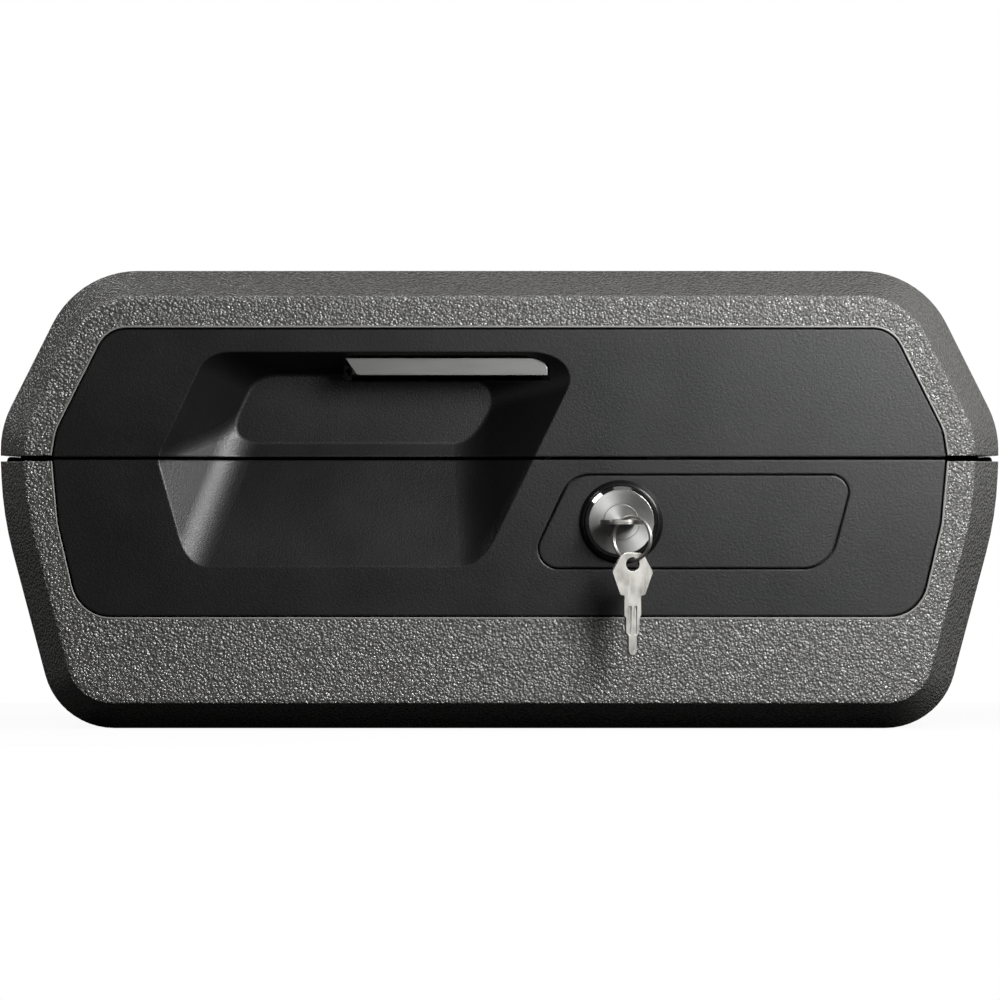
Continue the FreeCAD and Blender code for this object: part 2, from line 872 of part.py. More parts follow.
cam_back = cam_start + d.cam_thick
cam_washer = new_body("cam_washer")
pad(cam_washer, "XZ", cam_back, d.washer_thick, {"circles": [(0, 0, d.washer_radius)]})
bore(cam_washer, 0, cam_back, 0, d.washer_thick)
place(cam_washer, d.lock_x, panel_face, lock_z)

washer_back = cam_back + d.washer_thick
cam_screw = new_body("cam_screw")
pad(cam_screw, "XZ", washer_back, d.head_high, hexagon(d.head_half))
pad(cam_screw, "XZ", washer_back - d.screw_length, d.screw_length, hexagon(d.screw_radius))
place(cam_screw, d.lock_x, panel_face, lock_z)

# tongue: bent plate on the lid whose lip the locked cam holds down
tongue_y0 = panel_face + cam_back + d.tongue_gap
tongue_y1 = tongue_y0 + d.tongue_thick
tongue_low = seam - d.tongue_drop
arm_low = seam + d.tongue_arm
lock_tongue = new_body("lock_tongue")
pad(lock_tongue, "YZ", d.tongue_left, d.tongue_width, [
    (tongue_y1 - d.tongue_lip, tongue_low),
    (tongue_y1, tongue_low),
    (tongue_y1, arm_low),
    (bay_back, arm_low),
    (bay_back, arm_low + d.tongue_foot),
    (bay_back - d.tongue_thick, arm_low + d.tongue_foot),
    (bay_back - d.tongue_thick, arm_low + d.tongue_thick),
    (tongue_y0, arm_low + d.tongue_thick),
    (tongue_y0, tongue_low + d.tongue_thick),
    (tongue_y1 - d.tongue_lip, tongue_low + d.tongue_thick),
])


def fix(label, holes, face, bodies):
    """Short screws with their heads on a face, and a hole in every body they pass."""
    screws = []
    for number, (x, z) in enumerate(holes, 1):
        for body in bodies:
            bore(body, x, face, z, d.screw_length + d.screw_gap)
        screws.append(screw("%s_%d" % (label, number), x, face, z, d.screw_length))
    return group(label, screws)


tongue_x = d.tongue_left + d.tongue_width / 2
tongue_screws = fix("tongue_screws", [
    (tongue_x, arm_low + d.tongue_foot * 0.4),
    (tongue_x, arm_low + d.tongue_foot * 0.8),
], bay_back - d.tongue_thick, [lock_tongue, lid_shell])

# pull latch on the lid: paddle and hook on one shaft, two bracket ears, return spring
hub_left = -d.pull_left + d.hub_inset
hub_right = d.pull_right - d.hub_inset
lip_y0 = panel_face + d.pull_sink
latch_paddle = new_body("latch_paddle")
pad(latch_paddle, "XZ", lip_y0, d.pull_thick, [
    (d.pull_slant - d.pull_left, seam + d.pull_low, d.pull_round),
    (d.pull_right, seam + d.pull_low),
    (d.pull_right, seam + d.pull_high, d.pull_end_round),
    (-d.pull_left, seam + d.pull_high),
])
pad(latch_paddle, "YZ", hub_left, hub_right - hub_left, rect(
    lip_y0, pivot_z - d.web_thick / 2, pivot_y, pivot_z + d.web_thick / 2))
pad(latch_paddle, "YZ", hub_left, hub_right - hub_left, {"circles": [(pivot_y, pivot_z, d.hub_radius)]})
pocket(latch_paddle, "YZ", hub_left, hub_right - hub_left,
       {"circles": [(pivot_y, pivot_z, d.shaft_radius + d.run_gap)]})

left_ear = hub_left - d.ear_gap - d.ear_thick
right_ear = hub_right + d.ear_gap
hook_x = right_ear + d.ear_thick + d.ear_gap
shaft_start = left_ear - d.clip_thick * 3
shaft_end = hook_x + d.hook_thick + d.clip_thick * 3
latch_shaft = new_body("latch_shaft")
pad(latch_shaft, "YZ", shaft_start, shaft_end - shaft_start,
    {"circles": [(pivot_y, pivot_z, d.shaft_radius)]})

clips = []
for label, x in (("left_clip", left_ear - d.clip_thick * 2), ("right_clip", hook_x + d.hook_thick)):
    clip = new_body(label)
    pad(clip, "YZ", x, d.clip_thick, hexagon(d.clip_radius / HEX, pivot_y, pivot_z))
    pocket(clip, "YZ", x, d.clip_thick, {"circles": [(pivot_y, pivot_z, d.shaft_radius)]})
    clips.append(clip)
shaft_clips = group("shaft_clips", clips)

catch_z = seam - d.catch_drop
nose_top = catch_z - d.catch_gap
latch_hook = new_body("latch_hook")
pad(latch_hook, "YZ", hook_x, d.hook_thick, [
    (pivot_y - d.hook_half, nose_top - d.hook_nose),
    (pivot_y + d.hook_half, nose_top - d.hook_nose),
    (pivot_y + d.hook_reach, nose_top - d.hook_nose / 3),
    (pivot_y + d.hook_reach, nose_top),
    (pivot_y + d.hook_half, nose_top),
    (pivot_y + d.hook_half, pivot_z + d.hub_radius, d.hook_half * 0.9),
    (pivot_y - d.hook_half, pivot_z + d.hub_radius, d.hook_half * 0.9),
])
pocket(latch_hook, "YZ", hook_x, d.hook_thick, {"circles": [(pivot_y, pivot_z, d.shaft_radius + d.run_gap)]})

ears = []
ear_face = bay_back - d.ear_thick
ear_holes = []
for label, x, way in (("left_ear", left_ear, -1), ("right_ear", right_ear, 1)):
    ear = new_body(label)
    low = pivot_z - d.ear_height / 2
    pad(ear, "YZ", x, d.ear_thick, [
        (bay_back, low),
        (bay_back, low + d.ear_height),
        (pivot_y - d.hub_radius, pivot_z + d.hub_radius, d.hub_radius * 0.9),
        (pivot_y - d.hub_radius, pivot_z - d.hub_radius, d.hub_radius * 0.9),
    ])
    outer = x if way < 0 else x + d.ear_thick
    start = outer - d.ear_foot if way < 0 else outer
    pad(ear, "XZ", ear_face, d.ear_thick, rect(start, low, start + d.ear_foot, low + d.ear_height))
    pocket(ear, "YZ", x, d.ear_thick, {"circles": [(pivot_y, pivot_z, d.shaft_radius + d.run_gap)]})
    ears.append(ear)
    middle = start + d.ear_foot / 2
    ear_holes.append((middle, pivot_z + d.ear_height * 0.3))
    ear_holes.append((middle, pivot_z - d.ear_height * 0.3))
bracket_screws = fix("bracket_screws", ear_holes, ear_face, ears + [lid_shell])
latch_bracket = group("latch_bracket", ears)

spring_x = (hub_left + hub_right) / 2
spring_low = pivot_z + d.hub_radius
spring_face = bay_back - d.spring_thick
web_top = pivot_z + d.web_thick / 2 + d.run_gap
latch_spring = new_body("latch_spring")
pad(latch_spring, "YZ", spring_x - d.spring_width / 2, d.spring_width, [
    (bay_back, spring_low),
    (bay_back, spring_low + d.spring_foot),
    (spring_face, spring_low + d.spring_foot),
    (pivot_y - d.spring_reach, web_top + d.spring_thick * 1.5),
    (pivot_y - d.spring_reach, web_top),
    (pivot_y - d.spring_reach + d.spring_thick, web_top),
    (spring_face, spring_low + d.spring_foot - d.spring_thick * 1.2),
    (spring_face, spring_low),
])
spring_screw = fix("spring_screw", [(spring_x, spring_low + d.spring_foot * 0.35)], spring_face,
                   [latch_spring, lid_shell])

# catch on the body: sprung strip whose lip the hook holds
hook_middle = hook_x + d.hook_thick / 2
latch_catch = new_body("latch_catch")
pad(latch_catch, "YZ", hook_middle - d.catch_width / 2, d.catch_width, [
    (bay_back, catch_z + d.catch_thick - d.catch_foot),
    (bay_back, catch_z + d.catch_thick),
    (bay_back - d.catch_reach, catch_z + d.catch_thick),
    (bay_back - d.catch_reach, catch_z),
    (bay_back - d.catch_thick, catch_z),
    (bay_back - d.catch_thick, catch_z + d.catch_thick - d.catch_foot),
])
catch_screw_z = catch_z - d.catch_foot * 0.6
catch_screws = fix("catch_screws", [
    (hook_middle - d.catch_width / 4, catch_screw_z),
    (hook_middle + d.catch_width / 4, catch_screw_z),
], bay_back - d.catch_thick, [latch_catch, body_shell])


# keys: flat blanks drawn with the hole at the local origin and the blade hanging down
def cut_key(label):
    body = new_body(label)
    top = d.key_hole_in
    neck = top - d.bow_length
    tip = neck - d.blade_length
    half = d.bow_width / 2
    stem = d.blade_width / 2
    thin = d.blade_tip_width / 2
    pad(body, "XZ", -d.key_thick / 2, d.key_thick, mirrored([
        (half * 0.43, top, d.bow_round),
        (half, top - d.bow_length * 0.42, d.bow_round),
        (half * 0.7, neck + d.bow_length * 0.07, d.bow_round / 2),
        (stem, neck),
        (stem, neck - d.blade_length * 0.33),
        (thin, neck - d.blade_length * 0.38),
        (thin, neck - d.blade_length * 0.62),
        (thin * 0.62, neck - d.blade_length * 0.68),
        (thin * 0.62, neck - d.blade_length * 0.94),
        (thin * 0.3, tip),
    ]))
    pocket(body, "XZ", -d.key_thick / 2, d.key_thick, {"circles": [(0, 0, d.key_hole)]})
    for side in (-1, 1):
        across = side * thin * 0.42
        lines = rect(across - d.groove_wide / 2, neck - d.blade_length * 0.66,
                     across + d.groove_wide / 2, neck - d.blade_length * 0.18)
        pocket(body, "XZ", -d.key_thick / 2, d.groove_deep, lines)
        pocket(body, "XZ", d.key_thick / 2 - d.groove_deep, d.groove_deep, lines)
    return body


hole_y = panel_face + plug_face - d.key_gap - d.bow_length + d.key_hole_in
key = cut_key("key")
place(key, d.lock_x, hole_y, lock_z, Rotation(Vector(1, 0, 0), 90))

ring_x = d.lock_x + d.ring_aside * sine(d.ring_turn)
ring_y = hole_y - d.ring_aside * cosine(d.ring_turn)
ring_z = lock_z + d.ring_top - d.ring_radius
WIRE_SIDES = 4
key_ring = new_body("key_ring")
wire = []
for step in range(WIRE_SIDES):
    corner = 2 * math.pi * step / WIRE_SIDES
    wire.append((d.ring_wire * math.cos(corner), d.ring_radius + d.ring_wire * math.sin(corner)))
turn(key_ring, wire)
lean = math.radians(d.ring_turn.value)
place(key_ring, ring_x, ring_y, ring_z, Rotation(Vector(0, 1, 0), Vector(math.cos(lean), math.sin(lean), 0)))

spare_key = cut_key("spare_key")
spare_z = ring_z - d.ring_radius - d.key_hole + d.ring_wire + d.spare_gap
place(spare_key, ring_x, ring_y, spare_z, Rotation(Vector(0, 0, 1), d.spare_turn.value))


# hinges at the back: moulded knuckles, the outer ones on the body and the middle one on the lid
third = d.hinge_width / 6
middle_span = [(d.knuckle_gap - third, third - d.knuckle_gap)]
outer_spans = [(-third * 3, -third), (third, third * 3)]


def knuckles(body, rim, web, tip, spans):
    """Hinge knuckles on the back of a shell, each carried by a web that slopes back to the wall."""
    root = back - d.shell_wall
    for side in (-1, 1):
        for start, end in spans:
            x = d.hinge_x * side + start
            pad(body, "YZ", x, end - start, [
                (root, rim),
                (hinge_y - d.knuckle_radius, rim),
                (hinge_y - d.knuckle_radius, hinge_z - tip, d.knuckle_round),
                (hinge_y + d.knuckle_radius, hinge_z - tip, d.knuckle_round),
                (hinge_y + d.knuckle_radius, hinge_z),
                (root, rim + web),
            ])
            pocket(body, "YZ", x, end - start, hexagon(d.pin_radius + d.run_gap, hinge_y, hinge_z))


knuckles(body_shell, d.body_height, -d.hinge_web, -d.knuckle_radius, outer_spans)
knuckles(lid_shell, lid_rim, d.hinge_web, d.knuckle_radius, middle_span)

pins = []
for side in (-1, 1):
    pin = new_body("hinge_pin_%d" % (side + 2))
    start = d.hinge_x * side - d.hinge_width / 2
    pad(pin, "YZ", start, d.hinge_width, {"circles": [(hinge_y, hinge_z, d.pin_radius)]})
    pins.append(pin)
hinge_pins = group("hinge_pins", pins)

NODES = [
    body_shell, body_fill, body_liner, lower_fascia, lower_screws, lock_plate, lock_bezel,
    lock_housing, lock_nut, latch_catch, catch_screws, hinge_pins, lid_shell, lid_fill, lid_liner,
    lid_gasket, upper_fascia, upper_screws, lock_tongue, tongue_screws, latch_bracket,
    bracket_screws, latch_spring, spring_screw, latch_paddle, latch_shaft, shaft_clips, latch_hook,
    lock_plug, lock_cam, cam_washer, cam_screw, key, key_ring, spare_key,
]

doc.recompute()
for thing in doc.Objects:
    if "Invalid" in thing.State or "Error" in thing.State:
        raise RuntimeError("%s did not build" % thing.Label)
for thing in NODES:
    if thing.Shape.isNull() or not thing.Shape.isValid():
        raise RuntimeError("%s has no valid shape" % thing.Label)

os.makedirs("parts", exist_ok=True)
for thing in NODES:
    thing.Shape.exportStep("parts/%s.step" % thing.Label)
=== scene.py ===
import bmesh
import bpy
import math
from mathutils import Matrix, Vector


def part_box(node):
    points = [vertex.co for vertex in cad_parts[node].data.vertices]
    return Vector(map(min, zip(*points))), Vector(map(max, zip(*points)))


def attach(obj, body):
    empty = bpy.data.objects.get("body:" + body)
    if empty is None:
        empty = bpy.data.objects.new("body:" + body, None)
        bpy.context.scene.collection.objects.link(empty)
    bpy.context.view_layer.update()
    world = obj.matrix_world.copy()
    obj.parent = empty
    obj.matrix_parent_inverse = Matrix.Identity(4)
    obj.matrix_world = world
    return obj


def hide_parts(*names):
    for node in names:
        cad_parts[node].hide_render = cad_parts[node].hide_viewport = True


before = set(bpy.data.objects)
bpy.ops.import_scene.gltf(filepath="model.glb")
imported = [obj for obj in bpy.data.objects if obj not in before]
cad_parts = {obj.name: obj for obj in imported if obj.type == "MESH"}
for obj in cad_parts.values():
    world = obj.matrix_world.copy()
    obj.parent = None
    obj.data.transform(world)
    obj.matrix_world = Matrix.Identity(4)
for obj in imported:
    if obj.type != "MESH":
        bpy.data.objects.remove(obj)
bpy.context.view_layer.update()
scene = bpy.context.scene

# places and sizes in metres
MILLIMETRE = 0.001
LOCK_X, LOCK_Z = 0.0508, 0.0866
LOCK_FACE_EDGE = 0.0134, 0.0137
BODY_RIM, LID_RIM = 0.112, 0.1144
PLACE_SLACK = 0.0008
LIP_RADIUS = 0.00045
LIP_SUNK = 0.0002

# the y of a face's normal: below the first it faces the front, above the second it turns back
FACES_FRONT, TURNS_BACK = -0.98, -0.95

# the key ring's wire: half its width and thickness, its turns, and where along it one turn crosses to
# lie beside the other
RING_RADIUS = 0.009
RING_TURN = math.radians(58)
WIRE_OUT, WIRE_ASIDE = 0.00065, 0.00042
WIRE_TURNS = 1.98
WIRE_START = 0.19
WIRE_STEPS = 180
WIRE_SIDES = 10
CROSSING_START, CROSSING_LENGTH = 0.42, 0.16
CROSSING_SHIFT = 0.0009

# the keys in millimetres about the ring hole: across, up and corner radius down one side
KEY_TOP = 4.9
KEY_SIDE = [
    (4.4, KEY_TOP, 3.4), (8.95, -3.2, 1.6), (5.5, -12.7, 1.1), (3.75, -13.1, 0), (3.75, -21.2, 0.3),
    (2.95, -22.45, 0.3), (2.95, -28.35, 0.3), (1.83, -29.83, 0.3), (1.83, -36.2, 0.6),
    (0.89, -37.7, 0.4),
]
KEY_HOLE, HOLE_STEPS = 2.9, 40
KEY_CORE, KEY_SKIN, KEY_EDGE = 1.0, 0.5, 0.1
GROOVE_ASIDE, GROOVE_HALF = 1.24, 0.5
GROOVE_TOP, GROOVE_FOOT = -17.5, -29.3
SPARE_TURN = math.radians(18)

# the ridge on each side of the body's rim
RIDGE_INNER, RIDGE_OUTER = 0.2046, 0.2078
RIDGE_HALF, RIDGE_RAMP = 0.13, 0.006
RIDGE_HIGH, RIDGE_SUNK = 0.0020, 0.0005
RIDGE_CHAMFER = 0.0007
RIDGE_CHAMFER_DROP = 0.3
RIDGE_END_SHARE = 0.25

# the floor, the lights as name, place, aim, size and power, and the camera
FLOOR_NEAR, FLOOR_FAR, FLOOR_HALF = -0.45, 0.35, 1.0
FRONT_AIM, BACK_AIM = (0.05, -0.17, 0.1), (0, 0.17, 0.1)
SOFTBOXES = [
    ("key", (0.36, -0.6, 0.36), FRONT_AIM, (0.2, 0.2), 4.6),
    ("sheen", (0.3, -0.75, 0.29), FRONT_AIM, (0.2, 0.2), 1.3),
    ("top", (0.1, -0.1, 1.2), (0, -0.1, 0.1), (1.2, 0.6), 0.7),
    ("left_high", (-0.8, -0.07, 0.95), (-0.15, -0.1, 0.12), (0.3, 0.4), 6),
    ("left_low", (-0.9, -0.5, 0.2), (0, -0.17, 0.1), (0.4, 0.4), 0.15),
    ("back", (0, 1.2, 0.42), BACK_AIM, (1.0, 0.6), 8),
    ("back_right", (0.9, 0.95, 0.55), BACK_AIM, (1.0, 1.0), 1.2),
]
CAMERA_X, CAMERA_Z = 0.0002, 0.0958
CAMERA_AWAY = 4.0
VIEWED_Y, VIEWED_WIDTH = -0.148, 0.42
SENSOR_WIDTH = 36


# node helpers
def new_material(name):
    material = bpy.data.materials.new(name)
    material.use_nodes = True
    tree = material.node_tree
    return material, tree, tree.nodes["Principled BSDF"]


def add(tree, kind, inputs=None, **settings):
    node = tree.nodes.new(kind)
    for key, value in settings.items():
        setattr(node, key, value)
    for key, value in (inputs or {}).items():
        node.inputs[key].default_value = value
    return node


def link(tree, source, target):
    tree.links.new(source, target)


def object_coords(tree, scale=(1, 1, 1), turn=(0, 0, 0)):
    place = add(tree, "ShaderNodeTexCoord")
    mapping = add(tree, "ShaderNodeMapping", {"Scale": scale, "Rotation": turn})
    link(tree, place.outputs["Object"], mapping.inputs["Vector"])
    return mapping.outputs["Vector"]


def noise(tree, coords, scale, detail=3.0, rough=0.5):
    node = add(tree, "ShaderNodeTexNoise", {"Scale": scale, "Detail": detail, "Roughness": rough})
    link(tree, coords, node.inputs["Vector"])
    return node.outputs["Fac"]


def spread(tree, source, low, high, start=0.3, end=0.7):
    """Map the range from start to end onto low to high."""
    node = add(tree, "ShaderNodeMapRange",
               {"From Min": start, "From Max": end, "To Min": low, "To Max": high})
    link(tree, source, node.inputs["Value"])
    return node.outputs["Result"]


def calculate(tree, operation, *terms):
    node = add(tree, "ShaderNodeMath", operation=operation)
    for index, term in enumerate(terms):
        if isinstance(term, (int, float)):
            node.inputs[index].default_value = term
        else:
            link(tree, term, node.inputs[index])
    return node.outputs["Value"]


def tint(tree, factor, low, high):
    node = add(tree, "ShaderNodeMix", {6: (*low, 1), 7: (*high, 1)}, data_type="RGBA")
    link(tree, factor, node.inputs[0])
    return node.outputs[2]


def rounded_normal(tree, radius):
    """A normal that turns smoothly over sharp edges."""
    node = add(tree, "ShaderNodeBevel", {"Radius": radius}, samples=6)
    return node.outputs["Normal"]


def edge_share(tree, normal):
    """1 where a rounded normal turns away from the face, at an edge, and 0 on the flat."""
    flat = add(tree, "ShaderNodeNewGeometry")
    dot = add(tree, "ShaderNodeVectorMath", operation="DOT_PRODUCT")
    link(tree, normal, dot.inputs[0])
    link(tree, flat.outputs["Normal"], dot.inputs[1])
    return spread(tree, dot.outputs["Value"], 1.0, 0.0, start=0.8, end=0.995)


def bump(tree, shader, height, normal, strength, distance):
    node = add(tree, "ShaderNodeBump", {"Strength": strength, "Distance": distance})
    link(tree, height, node.inputs["Height"])
    link(tree, normal, node.inputs["Normal"])
    link(tree, node.outputs["Normal"], shader.inputs["Normal"])


# materials
def grained_shell():
    """Grey moulded plastic with a coarse pebbled skin, rubbed smoother along its edges; its colour is
    darkened in the pebble valleys as painted shade and lightened along the edges as a painted highlight.
    """
    material, tree, shader = new_material("shell_grain")
    coords = object_coords(tree)
    warp = add(tree, "ShaderNodeTexNoise", {"Scale": 430})
    link(tree, coords, warp.inputs["Vector"])
    shift = add(tree, "ShaderNodeVectorMath", {1: (0.001, 0.001, 0.001)}, operation="MULTIPLY_ADD")
    link(tree, warp.outputs["Color"], shift.inputs[0])
    link(tree, coords, shift.inputs[2])
    cells = add(tree, "ShaderNodeTexVoronoi", {"Scale": 880, "Smoothness": 0.25}, feature="SMOOTH_F1")
    link(tree, shift.outputs["Vector"], cells.inputs["Vector"])
    pebble = spread(tree, cells.outputs["Distance"], 1.0, 0.0, start=0.08, end=0.78)
    fine = noise(tree, coords, scale=2600)
    height = calculate(tree, "MULTIPLY_ADD", fine, 0.25, pebble)
    normal = rounded_normal(tree, radius=0.0012)
    edge = edge_share(tree, normal)
    bump(tree, shader, height, normal, strength=1.0, distance=0.00056)
    # colour mix: darker in the pebble valleys as painted shade, lighter along the edges as a painted
    # highlight
    crevice_shade_and_edge_highlight = calculate(tree, "MULTIPLY_ADD", edge, 0.35, pebble)
    shaded_valley, crest = (0.085, 0.0838, 0.0805), (0.175, 0.173, 0.166)
    link(tree, tint(tree, crevice_shade_and_edge_highlight, shaded_valley, crest), shader.inputs["Base Color"])
    patches = noise(tree, coords, scale=18, detail=4.0)
    worn = calculate(tree, "MULTIPLY_ADD", edge, -0.06, spread(tree, patches, 0.17, 0.25))
    link(tree, worn, shader.inputs["Roughness"])
    shader.inputs["Specular IOR Level"].default_value = 1.0
    return material


def black_fascia(name, base=0.002, rough=(0.38, 0.45), grain=0.5):
    """Black moulded plastic with a fine satin grain, and a painted highlight that lightens its colour
    along the edges.
    """
    material, tree, shader = new_material(name)
    coords = object_coords(tree)
    fine = noise(tree, coords, scale=1300, rough=0.65)
    normal = rounded_normal(tree, radius=0.0011)
    edge = edge_share(tree, normal)
    bump(tree, shader, fine, normal, strength=grain, distance=0.0002)
    patches = noise(tree, coords, scale=30, detail=4.0)
    gloss = calculate(tree, "MULTIPLY_ADD", edge, -0.18, spread(tree, patches, *rough))
    link(tree, gloss, shader.inputs["Roughness"])
    # fine grain speckle, plus a painted highlight that lightens the colour along the edges
    speck_and_edge_highlight = calculate(tree, "MULTIPLY_ADD", edge, 0.8, spread(tree, fine, 0.0, 1.0))
    colour = tint(tree, speck_and_edge_highlight, (base * 0.6,) * 3, (base * 1.4,) * 3)
    link(tree, colour, shader.inputs["Base Color"])
    shader.inputs["Specular IOR Level"].default_value = 0.65
    return material


def metal(name, colour, rough, stretch=(1, 1, 1), lines=900, depth=0.05, vary=0.25):
    """Bare or plated metal, brushed along the axis that is stretched."""
    material, tree, shader = new_material(name)
    brushed = noise(tree, object_coords(tree, stretch), scale=lines, rough=0.6)
    gloss = spread(tree, brushed, rough * (1 - vary), rough * (1 + vary))
    link(tree, gloss, shader.inputs["Roughness"])
    low = [c * (1 - vary / 2) for c in colour]
    link(tree, tint(tree, brushed, low, colour), shader.inputs["Base Color"])
    normal = rounded_normal(tree, radius=0.0004)
    bump(tree, shader, brushed, normal, strength=depth, distance=0.0001)
    shader.inputs["Metallic"].default_value = 1.0
    return material


def key_nickel():
    """Nickel plate with fine scratches that cross each other, and paler along its edges."""
    material, tree, shader = new_material("key_nickel")
    stretch = (1, 1, 0.06)
    along = noise(tree, object_coords(tree, stretch, turn=(0, 0.35, 0)), scale=2600, detail=2.0)
    across = noise(tree, object_coords(tree, stretch, turn=(0, -0.8, 0)), scale=2100, detail=2.0)
    scratch = calculate(tree, "MAXIMUM", spread(tree, along, 0, 1, start=0.56, end=0.7),
                        spread(tree, across, 0, 1, start=0.58, end=0.72))
    cloud = noise(tree, object_coords(tree), scale=160, detail=4.0)
    gloss = calculate(tree, "MULTIPLY_ADD", scratch, 0.16, spread(tree, cloud, 0.34, 0.46))
    link(tree, gloss, shader.inputs["Roughness"])
    normal = rounded_normal(tree, radius=0.0003)
    bright = calculate(tree, "MULTIPLY_ADD", edge_share(tree, normal), 0.5, spread(tree, cloud, 0, 1))
    dull, pale = (0.35, 0.34, 0.318), (0.48, 0.466, 0.438)
    link(tree, tint(tree, bright, dull, pale), shader.inputs["Base Color"])
    bump(tree, shader, scratch, normal, strength=0.15, distance=0.0001)
    shader.inputs["Metallic"].default_value = 1.0
    return material


def turned_chrome():
    """Polished rim, and a face brushed in rings about the lock's axis."""
    material, tree, shader = new_material("lock_chrome")
    place = add(tree, "ShaderNodeTexCoord")
    flat = add(tree, "ShaderNodeVectorMath", {1: (1, 0, 1)}, operation="MULTIPLY")
    link(tree, place.outputs["Object"], flat.inputs[0])
    distance = add(tree, "ShaderNodeVectorMath", {1: (LOCK_X, 0, LOCK_Z)}, operation="DISTANCE")
    link(tree, flat.outputs["Vector"], distance.inputs[0])
    radius = distance.outputs["Value"]
    rings = add(tree, "ShaderNodeTexNoise", {"Scale": 4200, "Detail": 3}, noise_dimensions="1D")
    link(tree, radius, rings.inputs["W"])
    ring = rings.outputs["Fac"]
    face = spread(tree, radius, 1.0, 0.0, *LOCK_FACE_EDGE)
    gloss = calculate(tree, "MULTIPLY", spread(tree, ring, 0.24, 0.42), face)
    link(tree, calculate(tree, "ADD", gloss, 0.05), shader.inputs["Roughness"])
    height = calculate(tree, "MULTIPLY", ring, face)
    normal = rounded_normal(tree, radius=0.0003)
    bump(tree, shader, height, normal, strength=0.12, distance=0.0001)
    dull, pale = (0.34, 0.34, 0.338), (0.47, 0.47, 0.462)
    link(tree, tint(tree, ring, dull, pale), shader.inputs["Base Color"])
    shader.inputs["Metallic"].default_value = 1.0
    shader.inputs["Anisotropic"].default_value = 0.6
    around = add(tree, "ShaderNodeTangent", direction_type="RADIAL", axis="Y")
    link(tree, around.outputs["Tangent"], shader.inputs["Tangent"])
    return material


def plain_plastic(name, colour, rough, grain=1800, strength=0.1):
    """Plain moulded material with faint patches."""
    material, tree, shader = new_material(name)
    coords = object_coords(tree)
    normal = rounded_normal(tree, radius=0.0006)
    bump(tree, shader, noise(tree, coords, scale=grain), normal, strength=strength, distance=0.0003)
    patches = noise(tree, coords, scale=25, detail=4.0)
    link(tree, spread(tree, patches, rough * 0.9, rough * 1.12), shader.inputs["Roughness"])
    low = [c * 0.88 for c in colour]
    link(tree, tint(tree, patches, low, colour), shader.inputs["Base Color"])
    return material


SHELL = grained_shell()
FASCIA = black_fascia("fascia_black")
PLATE = black_fascia("lock_plate_black")
BEZEL = black_fascia("bezel_black", base=0.006, rough=(0.22, 0.3), grain=0.05)
LATCH = metal("latch_silver", (0.34, 0.34, 0.333), rough=0.42, stretch=(0.05, 1, 1), depth=0.015,
              vary=0.06)
STEEL = metal("zinc_steel", (0.56, 0.56, 0.57), rough=0.34, lines=220)
NICKEL = key_nickel()
CHROME = turned_chrome()
LINER = plain_plastic("liner_grey", (0.15, 0.15, 0.155), rough=0.6)
FILL = plain_plastic("fill_mineral", (0.6, 0.57, 0.5), rough=0.9, grain=300, strength=0.5)
# paler than the shell: a painted highlight along the openings' edges
LIP_PAINTED_HIGHLIGHT = plain_plastic("lip_painted_highlight", (0.27, 0.267, 0.257), rough=0.3, grain=2400, strength=0.15)
RUBBER = plain_plastic("gasket_rubber", (0.018, 0.018, 0.018), rough=0.7)

FINISH = {
    "lid_shell": SHELL, "body_shell": SHELL,
    "upper_fascia": FASCIA, "lower_fascia": FASCIA,
    "lock_plate": PLATE, "lock_bezel": BEZEL,
    "lock_housing": CHROME, "lock_plug": CHROME,
    "latch_paddle": LATCH,
    "key": NICKEL, "spare_key": NICKEL, "key_ring": NICKEL,
    "lid_liner": LINER, "body_liner": LINER,
    "lid_fill": FILL, "body_fill": FILL,
    "lid_gasket": RUBBER,
}
for name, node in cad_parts.items():
    node.data.materials.clear()
    node.data.materials.append(FINISH.get(name, STEEL))


# pieces that scene.py adds
def new_piece(name, mesh, material):
    mesh.materials.clear()
    mesh.materials.append(material)
    piece = bpy.data.objects.new(name, mesh)
    scene.collection.objects.link(piece)
    return piece


def curve_mesh(curve):
    """The mesh of a curve, by way of an object that is removed again."""
    helper = bpy.data.objects.new("curve_helper", curve)
    mesh = bpy.data.meshes.new_from_object(helper)
    bpy.data.objects.remove(helper)
    return mesh


def add_line(curve, points, closed):
    line = curve.splines.new("POLY")
    line.points.add(len(points) - 1)
    line.use_cyclic_u = closed
    for point, place in zip(line.points, points):
        point.co = (*place, 1)


def tube_faces(sides, rows):
    """Faces of a closed tube whose points run round each row in turn."""
    last = (rows - 1) * sides
    faces = [tuple(range(sides)), tuple(reversed(range(last, last + sides)))]
    for row in range(rows - 1):
        first, second = row * sides, (row + 1) * sides
        for corner in range(sides):
            after = (corner + 1) % sides
            faces.append((first + after, first + corner, second + corner, second + after))
    return faces


def smooth_step(share):
    share = min(max(share, 0), 1)
    return share * share * (3 - 2 * share)


